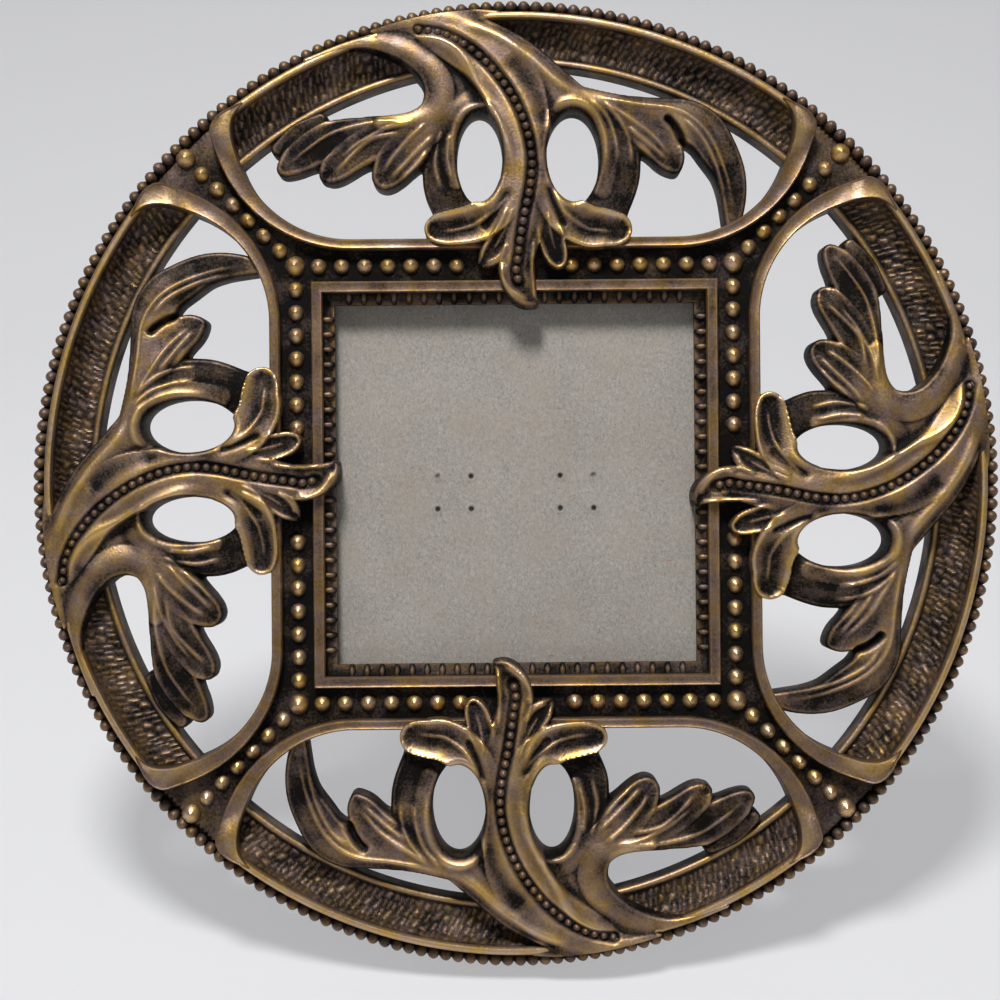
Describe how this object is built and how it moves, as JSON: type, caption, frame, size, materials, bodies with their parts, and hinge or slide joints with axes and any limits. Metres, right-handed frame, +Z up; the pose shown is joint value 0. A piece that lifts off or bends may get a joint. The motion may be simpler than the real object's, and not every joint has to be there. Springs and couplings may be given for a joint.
{
  "type": "picture frame",
  "caption": "Round cast-metal table picture frame with a beaded square window, openwork leaf sprigs, a ribbed rim and a folding easel strut.",
  "frame": {"origin": "on the surface that the frame stands on, below the middle of the bounding box", "axes": "+X to the right as seen from the front, +Y to the back where the strut stands, +Z up"},
  "size_m": [0.2, 0.0882, 0.1849],
  "materials": {
    "bronze": "antique bronze: rubbed gold-brown high spots over black-brown recesses",
    "glass": "clear flat picture glass",
    "grey_board": "bare grey chipboard with fine fibres",
    "black_paper": "matte black embossed paper",
    "black_board": "board wrapped in matte black embossed paper",
    "brassed_steel": "thin brass plating on pressed steel",
    "wire": "bright steel wire"
  },
  "bodies": {
    "frame": {"frame_casting": "bronze", "glass_pane": "glass", "backing_board": "grey_board", "rear_facing": "black_paper", "hinge_fixed_leaf_left": "brassed_steel", "hinge_fixed_leaf_right": "brassed_steel", "hinge_pin_left": "wire", "hinge_pin_right": "wire", "board_staple_left_1": "wire", "board_staple_left_2": "wire", "board_staple_right_1": "wire", "board_staple_right_2": "wire", "turn_button_screw_upper_left": "brassed_steel", "turn_button_screw_upper_right": "brassed_steel", "turn_button_screw_lower_left": "brassed_steel", "turn_button_screw_lower_right": "brassed_steel"},
    "strut": {"easel_strut": "black_board", "hinge_moving_leaf_left": "brassed_steel", "hinge_moving_leaf_right": "brassed_steel", "strut_staple_left_1": "wire", "strut_staple_left_2": "wire", "strut_staple_right_1": "wire", "strut_staple_right_2": "wire"},
    "button_upper_left": {"turn_button_upper_left": "brassed_steel"},
    "button_upper_right": {"turn_button_upper_right": "brassed_steel"},
    "button_lower_left": {"turn_button_lower_left": "brassed_steel"},
    "button_lower_right": {"turn_button_lower_right": "brassed_steel"}
  },
  "joints": [
    {"name": "strut_fold", "type": "hinge", "parent": "frame", "child": "strut", "pos_m": [0, 0.00297, 0.08104], "axis": [1, 0, 0], "range_deg": [-50, 0]},
    {"name": "button_turn_upper_left", "type": "hinge", "parent": "frame", "child": "button_upper_left", "pos_m": [-0.04515, 0.01453, 0.11267], "axis": [0, -0.9135, 0.4067], "continuous": true},
    {"name": "button_turn_upper_right", "type": "hinge", "parent": "frame", "child": "button_upper_right", "pos_m": [0.04515, 0.01453, 0.11267], "axis": [0, -0.9135, 0.4067], "continuous": true},
    {"name": "button_turn_lower_left", "type": "hinge", "parent": "frame", "child": "button_lower_left", "pos_m": [-0.04515, -0.00499, 0.06882], "axis": [0, -0.9135, 0.4067], "continuous": true},
    {"name": "button_turn_lower_right", "type": "hinge", "parent": "frame", "child": "button_lower_right", "pos_m": [0.04515, -0.00499, 0.06882], "axis": [0, -0.9135, 0.4067], "continuous": true}
  ]
}
